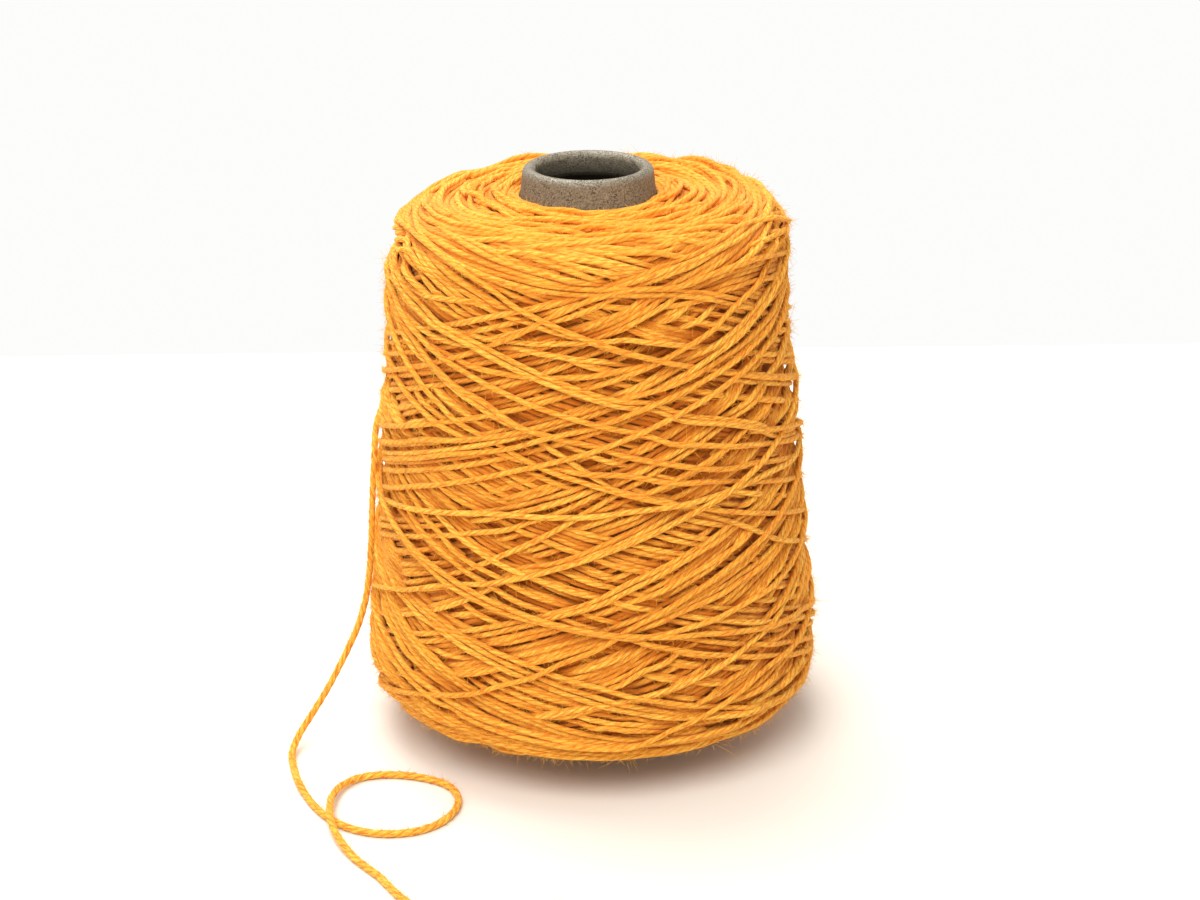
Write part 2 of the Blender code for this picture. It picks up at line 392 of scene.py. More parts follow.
def spinYarn(name, runs, tree, radius, plyDepth, sectionPoints, twisted=0.0):
    # each run is its points in metres, with the thickness, start of twist, shade and depth of each; shade
    # is a tone of its own, and depth sets how much painted shade it gets
    points = np.concatenate([run["points"] for run in runs])
    index = np.arange(len(points))
    ends = np.cumsum([len(run["points"]) for run in runs])
    edges = np.stack([index[:-1], index[1:]], axis=1)
    edges = np.delete(edges, ends[:-1] - 1, axis=0)
    carrier = meshPiece(name + "_route", points.tolist(), edges.tolist())
    for key in ("thick", "phase", "shade", "deep"):
        values = np.concatenate([np.broadcast_to(run.get(key, 0.0), len(run["points"]))
                                 for run in runs])
        attribute = carrier.data.attributes.new(key, "FLOAT", "POINT")
        attribute.data.foreach_set("value", values.astype(np.float32))
    return runNodes(carrier, tree, {
        "Radius": radius * mm,
        "Ply depth": plyDepth,
        "Ply pitch": yarn["pitch"] * mm,
        "Section points": sectionPoints,
        "Twisted": twisted,
    }, name)


# fibres that stand out from the yarn

fuzz = {
    "finish": (0.9, 0.1),
    "patches": (600.0, 2.0),
    # share of the painted shade of deep yarn that its fibres get
    "buried": 0.7,
    "radius": 0.055,
    "start": 0.55,  # from the middle of the yarn
    "taper": (tipThickness, 1.0, tipThickness),  # a short fibre's thickness along it
    "strayTaper": (tipThickness, 1.0, 0.9, 0.65, tipThickness),
    "roundYarn": 1.2,  # radians each way from the yarn's outer side
    "lean": (0.15, 1.2),
    "bend": 0.55,
    "floor": 0.06,
    "wound": (31000, (0.8, 2.7), "taper"),  # how many, their lengths and their form
    "woundToo": (20000, (0.8, 2.7), "taper"),
    "strays": (330, (3.0, 7.0), "strayTaper"),
    "footStrays": (90, (2.4, 4.8), "strayTaper"),
    "loose": (2400, (0.8, 2.2), "taper"),
    "tip": (40, (1.2, 3.4), "strayTaper"),
    "straysFrom": {"strays": 9.0, "footStrays": 176.0},  # along the package's outline
    "above": -1.2,  # only on yarn that lies above this
    "shortAlong": (2.0, 12.0),  # rubbed short beside the core
    "shortShare": (0.35, 1.0),
}
fuzzDraw = np.random.default_rng(7)


def fibreFinish():
    finish, tree, look = newFinish("stray fibres", *fuzz["finish"])
    patches = noiseNode(tree, objectSpot(tree), *fuzz["patches"])
    colour = mixColours(tree, patches, yarn["fibre"], yarn["deepGold"])
    # painted shade: fibres on deep yarn are painted darker
    deep = times(tree, attributeNode(tree, "deep"), fuzz["buried"])
    tree.links.new(mixColours(tree, deep, colour, yarn["buried"]), look["Base Color"])
    return finish


def fibreRuns(roots, plan):
    # each fibre leaves a yarn at one of its roots, along the yarn and outwards, and bends away
    count, length, form = plan
    taper = fuzz[form]
    picked = fuzzDraw.integers(0, len(roots["at"]), count)
    deep = roots["deep"][picked] if "deep" in roots else np.zeros(count)
    at, ahead, out = (roots[key][picked] for key in ("at", "ahead", "out"))
    turn = fuzzDraw.uniform(-fuzz["roundYarn"], fuzz["roundYarn"], (count, 1))
    away = out * np.cos(turn) + np.cross(ahead, out) * np.sin(turn)
    heading = unit(ahead * fuzzDraw.choice([-1, 1], (count, 1))
                   + away * fuzzDraw.uniform(*fuzz["lean"], (count, 1)))
    bend = fuzzDraw.normal(0, fuzz["bend"], (count, 3))
    size = fuzzDraw.uniform(*length, (count, 1))
    if "cut" in roots:
        size = size * roots["cut"][picked][:, None]
    runs = []
    share = np.linspace(0, 1, len(taper))[:, None]
    for start, way, curl, long, own in zip(at + away * fuzz["start"], heading, bend, size, deep):
        points = start + long * (way * share + curl * share ** 2)
        points[:, 2] = np.maximum(points[:, 2], fuzz["floor"])
        runs.append({"points": points * mm, "thick": taper, "phase": 0.0, "shade": 0.0,
                     "deep": own})
    return runs


def spinFuzz(name, runs):
    return spinYarn(name, runs, fibreSpinning, fuzz["radius"], 0.0, 3)


# loose end: leaves the package at its left, and lies on the surface in one loop

looseEnd = {
    "step": 0.5,
    "sectionPoints": 18,
    "thickness": (0.97, 0.03, 9.0),  # its mean, and how much and how slowly it varies
    "hanging": (12, 0.93),  # above this height it is drawn thinner by its weight
    "evened": 20,  # steps each way over which its thickness changes
    "phase": 0.6,
    "shade": 0.35,
    "length": 0.370,
    "diameter": 0.0022,
    "fray": 4.5,  # over which the cut end opens into its plies
    "neck": 0.8,  # its thickness where it opens
    "plyRadius": 0.5,
    "plyShade": 0.3,
    "plyTurn": (0.5, 0.9),  # radians, at its opening and from there to its tip
    "plyFloor": 0.55,
    "plySpread": (0.42, 1.25),  # from the middle, where it opens and at its tip
    "route": [
        # round the left of the package, then down in front of its flare
        (-62.2, 9.4, 93.6), (-62.9, 5.2, 92.5), (-63.4, 1.2, 90.6), (-63.6, -2.2, 87.4),
        (-63.7, -4.8, 82.9), (-64.2, -6.6, 76.4), (-64.7, -7.6, 68.6), (-65.3, -8.2, 58.6),
        (-66.2, -8.7, 48.6), (-67.6, -9.3, 40.2),
        # away to the surface
        (-69.9, -10.2, 32.6), (-73.0, -11.6, 25.8), (-76.4, -13.4, 19.4), (-80.0, -16.2, 13.4),
        (-84.0, -20.4, 8.0), (-87.4, -26.4, 4.2), (-88.9, -33.6, 2.0),
        # on the surface, into the loop
        (-87.9, -40.6, 1.2), (-84.8, -52.7, 1.15), (-80.0, -64.6, 1.15), (-74.6, -73.2, 1.15),
        (-68.2, -79.2, 1.15), (-60.0, -82.5, 1.15), (-51.2, -81.9, 1.15), (-44.2, -77.6, 1.15),
        (-39.8, -70.2, 1.15), (-38.8, -62.0, 1.15), (-42.0, -54.2, 1.15), (-49.2, -49.2, 1.15),
        (-58.6, -46.8, 1.15), (-67.0, -48.4, 1.3), (-72.4, -54.4, 1.8),
        # over the first run, and on to the front
        (-74.4, -62.4, 2.8), (-74.6, -70.0, 3.6), (-74.0, -76.6, 3.7), (-72.4, -83.0, 3.0),
        (-70.0, -88.6, 2.1), (-66.2, -95.6, 1.3), (-62.6, -100.8, 1.15), (-58.6, -106.2, 1.15),
        (-55.4, -111.8, 1.15), (-51.6, -118.2, 1.15),
        # the short tail past it
        (-46.2, -124.0, 1.15), (-38.4, -128.2, 1.15), (-28.8, -129.8, 1.15),
        (-19.2, -128.8, 1.15), (-11.0, -126.2, 1.15),
    ],
}


def smoothRoute(points, step, between=24):
    # evenly spaced points on a smooth curve through the given ones
    points = np.asarray(points, float)
    padded = np.concatenate([points[:1], points, points[-1:]])
    share = np.linspace(0, 1, between, endpoint=False)[:, None]
    fine = []
    for before, start, end, after in zip(padded, padded[1:], padded[2:], padded[3:]):
        fine.append(0.5 * (2 * start + (end - before) * share
                           + (2 * before - 5 * start + 4 * end - after) * share ** 2
                           + (3 * start - before - 3 * end + after) * share ** 3))
    fine = np.concatenate(fine + [points[-1:]])
    distance = travelled(np.linalg.norm(np.diff(fine, axis=0), axis=1))
    even = np.linspace(0, distance[-1], round(distance[-1] / step) + 1)
    return np.stack([np.interp(even, distance, fine[:, axis]) for axis in range(3)], axis=1)


def makeLooseEnd(tree):
    points = smoothRoute(looseEnd["route"], looseEnd["step"])
    mean, swing, slowness = looseEnd["thickness"]
    thick = mean + swing * np.sin(np.arange(len(points)) * looseEnd["step"] / slowness)
    above, thinner = looseEnd["hanging"]
    thick = np.where(points[:, 2] > above, thick * thinner, thick)
    size = 2 * looseEnd["evened"] + 1
    padded = np.pad(thick, looseEnd["evened"], mode="edge")
    thick = np.convolve(padded, np.ones(size) / size, mode="valid")
    ahead = unit(np.gradient(points, axis=0))
    # its upper side, settled towards the package where it hangs nearly straight down
    out = unit(np.cross(ahead, np.cross([0, 0, 1.0], ahead) + [0, 0.02, 0]))

    # the cut end opens into its plies
    opens = len(points) - round(looseEnd["fray"] / looseEnd["step"])
    thick[0] = thick[opens + 1] = tipThickness
    thick[opens] = looseEnd["neck"]
    runs = [{"points": points[:opens + 2] * mm, "thick": thick[:opens + 2],
             "phase": looseEnd["phase"], "shade": looseEnd["shade"]}]
    last = slice(opens - 3, None)
    near, far = looseEnd["plySpread"]
    start, turning = looseEnd["plyTurn"]
    plies = []
    share = np.linspace(0, 1, len(points[last]))[:, None]
    for number in range(yarn["plies"]):
        angle = number * fullTurn / yarn["plies"] + start + turning * share
        away = out[last] * np.sin(angle) + np.cross(ahead, out)[last] * np.cos(angle)
        ply = points[last] + away * (near + (far - near) * share ** 2)
        ply[:, 2] = np.maximum(ply[:, 2], looseEnd["plyFloor"])
        plies.append(ply)
        own = np.full(len(ply), looseEnd["plyRadius"] / yarn["looseRadius"])
        own[0] = own[-1] = tipThickness
        runs.append({"points": ply * mm, "thick": own, "phase": number,
                     "shade": looseEnd["plyShade"]})
    piece = spinYarn("loose_yarn", runs, tree, yarn["looseRadius"], yarn["plyDepth"],
                     looseEnd["sectionPoints"], twisted=1.0)
    seat(piece)
    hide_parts("loose_end")

    hairs = fibreRuns({"at": points[:opens], "ahead": ahead[:opens], "out": out[:opens]},
                      fuzz["loose"])
    tips = {"at": np.concatenate([ply[-4:] for ply in plies])}
    for key, values in (("ahead", ahead), ("out", out)):
        tips[key] = np.tile(values[-4:], (len(plies), 1))
    hairs += fibreRuns(tips, fuzz["tip"])
    fibres = seat(spinFuzz("loose_fuzz", hairs))


spinning = yarnTree("spin yarn along its route", yarnFinish())
fibreSpinning = yarnTree("spin stray fibres", fibreFinish())
makeLooseEnd(spinning)
print("loose end")


# package: its outline, and the heap of yarn that grows on it

package = {
    "coreTop": 19.8,  # radius where the upper end meets the core
    "coreFoot": 35.6,
    "floor": 12.0,
    "top": 163.0,
    "topDip": 0.6,
    "shoulder": (14.0, 12.0),  # how wide and how high its rounding is
    "foot": (10.0, 10.0),
    "side": [  # height and radius over the crests
        (151, 57.4), (134, 58.1), (118, 58.8), (104, 60.0), (92, 61.5), (80, 61.9),
        (66, 63.1), (52, 64.4), (40, 65.8), (31, 66.4), (22, 66.3),
    ],
    "rows": (24, 60),  # of a rounding and of the side
    "eased": 6,  # cells each way
    "cell": 0.4,  # along the outline
    "cellsAround": 1152,
    "bare": -9.0,  # where the heap starts
}


def packageOutline():
    # (radius, height) rows from the core over the shoulder, down the side and in to the core
    roundRows, sideRows = package["rows"]
    quarter = np.linspace(0, math.pi / 2, roundRows)
    heights, radii = np.array(package["side"], float).T
    wide, high = package["shoulder"]
    inner = radii[0] - wide
    rows = [(package["coreTop"], package["top"] - package["topDip"]), (inner, package["top"])]
    rows += [(inner + wide * math.sin(q), heights[0] + high * math.cos(q)) for q in quarter[1:]]
    spots = np.linspace(heights[0], heights[-1], sideRows)[1:]
    rows += list(zip(np.interp(-spots, -heights, radii), spots))
    wide, high = package["foot"]
    inner = radii[-1] - wide
    rows += [(inner + wide * math.cos(q), heights[-1] - high * math.sin(q)) for q in quarter[1:]]
    rows.append((package["coreFoot"], package["floor"]))
    rows = np.array(rows)
    distance = travelled(np.hypot(*np.diff(rows, axis=0).T))
    along = np.arange(0, distance[-1], package["cell"])
    radius, height = (smoothed(np.interp(along, distance, column), package["eased"])
                      for column in rows.T)
    slopeR, slopeZ = np.gradient(radius, along), np.gradient(height, along)
    size = np.hypot(slopeR, slopeZ)
    return {"along": along, "radius": radius, "height": height,
            "outR": -slopeZ / size, "outZ": slopeR / size}


outline = packageOutline()
heap = np.full((len(outline["along"]), package["cellsAround"]), package["bare"])

# Places on the package: turn is the angle round it from the front towards +X, along is the
# distance down its outline from the core's nose, and lift is how far out from the crests.


def onOutline(key, along):
    return np.interp(along, outline["along"], outline[key])


def alongAt(height):
    side = (outline["height"] < package["top"] - 1) & (outline["height"] > package["floor"] + 0.3)
    return np.interp(-np.asarray(height, float), -outline["height"][side], outline["along"][side])


def inSpace(turn, along, lift):
    radius = onOutline("radius", along) + lift * onOutline("outR", along)
    height = onOutline("height", along) + lift * onOutline("outZ", along)
    return np.stack([radius * np.sin(turn), -radius * np.cos(turn), height], axis=1)


def cellsAt(turn, along):
    rows = np.clip(along / package["cell"], 0, heap.shape[0] - 1).astype(int)
    columns = np.floor(turn / fullTurn * heap.shape[1]).astype(int) % heap.shape[1]
    return rows, columns


laying = {
    "step": 1.0 / 3,
    "halfWidth": 0.62,  # of what a yarn keeps to itself: beside that, yarns share the room
    "halfThick": 0.56,
    "press": 0.12,
    "across": (-0.5, -0.25, 0.0, 0.25, 0.5),
    "dive": 12.0,  # over which an end goes under the yarn about it
    "diveDepth": 3.2,
    "leave": 16.0,  # over which an end leaves the heap
    "easing": 1.5,
    "spanReach": 12,  # steps each way in which a spanning yarn finds what holds it up
    "spanLift": 0.3,
    "bendOnSide": 1 / 52.0,
    "bendOnEnd": 1 / 300.0,
}


def tautOver(distance, support, bend):
    # a tight yarn's height: it touches where it is held up, and spans the hollows
    flat = support - bend * distance ** 2 / 2
    kept = []
    for index in range(len(flat)):
        while len(kept) > 1:
            first, last = kept[-2], kept[-1]
            rise = (flat[last] - flat[first]) * (distance[index] - distance[first])
            if rise > (flat[index] - flat[first]) * (distance[last] - distance[first]):
                break
            kept.pop()
        kept.append(index)
    return np.interp(distance, distance[kept], flat[kept]) + bend * distance ** 2 / 2


def highestNear(values, reach):
    padded = np.pad(values, reach, mode="edge")
    highest = np.lib.stride_tricks.sliding_window_view(padded, 2 * reach + 1).max(axis=1)
    return smoothed(highest, reach)


def halfAt(offset):
    # how far up a yarn reaches, this far beside its middle
    return laying["halfThick"] * math.sqrt(1 - (offset / laying["halfWidth"]) ** 2)


def nearEnd(distance, over):
    # 1 at the end itself
    return np.clip(1 - distance / over, 0, 1) ** laying["easing"]


def layYarn(turn, along, bend=laying["bendOnSide"], raised=0.0, endLift=None):
    # lays one length of yarn on the heap, and gives its path
    radius = onOutline("radius", along)
    spots = travelled(np.hypot(np.diff(turn) * (radius[1:] + radius[:-1]) / 2, np.diff(along)))
    distance = np.arange(0, spots[-1], laying["step"])
    turn, along = np.interp(distance, spots, turn), np.interp(distance, spots, along)
    radius = onOutline("radius", along)
    ahead = np.stack([np.gradient(turn) * radius, np.gradient(along)])
    ahead /= np.hypot(*ahead)
    side = (-ahead[1] / radius, ahead[0])
    support = np.full(len(distance), -np.inf)
    for offset in laying["across"]:
        cells = cellsAt(turn + offset * side[0], along + offset * side[1])
        support = np.maximum(support, heap[cells] + halfAt(offset))
    support -= laying["press"]
    held = highestNear(support, laying["spanReach"]) + laying["spanLift"]
    lift = np.minimum(tautOver(distance, support, bend), held) + raised
    lift = lift - laying["diveDepth"] * nearEnd(distance, laying["dive"])
    if endLift is None:
        lift = lift - laying["diveDepth"] * nearEnd(distance[::-1], laying["dive"])
    else:  # leaves the heap there
        share = nearEnd(distance[::-1], laying["leave"])
        lift = lift * (1 - share) + endLift * share
    reach = np.ceil(laying["step"] / (fullTurn / heap.shape[1] * radius.min()) / 2)
    for offset in laying["across"]:
        for near in np.arange(-reach, reach + 1):
            nudge = near * fullTurn / heap.shape[1]
            cells = cellsAt(turn + offset * side[0] + nudge, along + offset * side[1])
            np.maximum.at(heap, cells, lift + halfAt(offset))
    return {"turn": turn, "along": along, "lift": lift, "side": side}


winding = {
    "sets": 34,
    "passes": (4, 9),  # parallel double traverses in a set
    "turnsInStroke": (1.12, 1.42),
    "apart": (1.42, 1.62),  # between neighbours in a set
    "height": 150.0,
    "radius": 61.0,
    "past": 0.07,  # of a stroke, by which a length goes on past its turn-backs
    "topReach": (19.0, 37.0),  # along the outline, where a stroke turns back
    "footReach": (176.0, 188.0),
    "rounding": 0.955,  # of the turn-backs: at 1 they are sharp
    "wander": 0.45,
    "goldenStep": 0.61803 * fullTurn,
    "points": 900,  # of a double traverse
    "arcPoints": 80,
}
swaying = {
    "waves": 3,
    "size": (0.3, 1.0),
    "angle": (4, 26),  # radians over the whole length
}


def wander(count, size):
    # a slow random sway along a yarn
    share = np.linspace(0, 1, count)
    sway = np.zeros(count)
    for _ in range(swaying["waves"]):
        sway += draw.uniform(*swaying["size"]) * np.sin(
            share * draw.uniform(*swaying["angle"]) + draw.uniform(0, fullTurn))
    return size * sway / math.sqrt(swaying["waves"])


def doubleTraverse(start, turns, top, foot):
    # from the upper end down to the lower one and up again, always turning the same way
    share = np.linspace(-winding["past"], 2 + winding["past"], winding["points"])
    corner = winding["rounding"]
    wave = 0.5 - np.arcsin(corner * np.cos(math.pi * share)) / (2 * math.asin(corner))
    along = top + (foot - top) * wave
    turn = start + turns * fullTurn * share
    return turn, along + wander(len(share), winding["wander"])


def windBody():
    paths = []
    start = 0.0
    for _ in range(winding["sets"]):
        start += winding["goldenStep"]
        turns = draw.uniform(*winding["turnsInStroke"])
        rise = math.atan(winding["height"] / (turns * fullTurn * winding["radius"]))
        where = start
        for _ in range(draw.integers(winding["passes"][0], winding["passes"][1] + 1)):
            top, foot = draw.uniform(*winding["topReach"]), draw.uniform(*winding["footReach"])
            turn, along = doubleTraverse(where, turns, top, foot)
            paths.append(layYarn(turn, along))
            where += draw.uniform(*winding["apart"]) / (winding["radius"] * math.sin(rise))
        paths += windEnd(endArcs, start) + windEnd(footArcs, start)
        levelHeap(paths)
    return paths


endArcs = {
    "count": 15,  # with each set
    "from": 0.5,  # along the outline
    "to": 29.0,
    "length": (60.0, 160.0),
    "drift": (2.5, 12.0),  # how far an arc works in or out
    "wander": 0.35,
    "crowded": 1.5,  # towards its first place
}
footArcs = {
    "count": 6,
    "from": 186.0,
    "to": 208.0,
    "length": (60.0, 140.0),
    "drift": (2.0, 8.0),
    "wander": 0.3,
    "crowded": 1.0,
}


def windEnd(plan, start):
    # the near-round arcs on a flat end, crossing each other at a slight angle
    paths = []
    for number in range(plan["count"]):
        middle = plan["from"] + (plan["to"] - plan["from"]) * draw.uniform(0, 1) ** plan["crowded"]
        length = draw.uniform(*plan["length"])
        drift = draw.uniform(*plan["drift"]) * draw.choice([-1, 1])
        share = np.linspace(-0.5, 0.5, winding["arcPoints"])
        sway = wander(len(share), plan["wander"])
        along = np.clip(middle + drift * share + sway, plan["from"], plan["to"])
        sweep = length / max(onOutline("radius", middle), 1.0)
        turn = start + number * fullTurn / plan["count"] + sweep * share
        paths.append(layYarn(turn, along, bend=laying["bendOnEnd"]))
    return paths


def blurred(field, reach):
    # soft mean of the heap, round the package and along its outline
    for _ in range(3):
        for axis, mode, width in ((0, "edge", reach), (1, "wrap", reach * 2)):
            padded = np.pad(np.moveaxis(field, axis, 0), ((width, width), (0, 0)), mode=mode)
            total = np.insert(np.cumsum(padded, axis=0), 0, 0, axis=0)
            size = 2 * width + 1
            field = np.moveaxis((total[size:] - total[:-size]) / size, 0, axis)
    return field


levelling = {
    "reach": 7,  # in cells
    "along": (4, 16, 38, 50),
    "mean": (-1.0, -2.2, -2.2, -1.1),  # mm below the crests, at these places
}


def meanAt(along):
    return np.interp(along, levelling["along"], levelling["mean"])


# Where the winding has slumped inside its outline. Each row is the turn there and its spread in
# degrees, the stretch of the outline, and how deep.
slumps = [
    (-100, 45, (16, 50), 2.0),
    (180, 65, (8, 50), 1.2),
    (88, 40, (46, 188), 0.9),
]
slumpEdge = 7.0  # mm of the outline over which a slump begins and ends


def slumpAt(turn, along):
    # how far below the outline's own place the winding lies
    depth = 0.0
    for middle, spread, (start, end), most in slumps:
        away = (np.degrees(turn) - middle + 180) % 360 - 180
        inside = np.clip(np.minimum(along - start, end - along) / slumpEdge + 0.5, 0, 1)
        depth = depth + most * np.exp(-(away / spread) ** 2) * inside
    return depth


turnsOfHeap = np.arange(heap.shape[1]) / heap.shape[1] * fullTurn
slumpOfHeap = slumpAt(turnsOfHeap[None, :], outline["along"][:, None])


def levelHeap(paths):
    # packs the yarn so that the package keeps its outline
    global heap
    rise = blurred(heap, levelling["reach"]) - (meanAt(outline["along"])[:, None] - slumpOfHeap)
    for path in paths:
        path["lift"] = path["lift"] - rise[cellsAt(path["turn"], path["along"])]
    heap = heap - rise


bodyPaths = windBody()
print("body of the winding:", len(bodyPaths), "lengths")


# outer turns: those that show in front, then carried on round the back

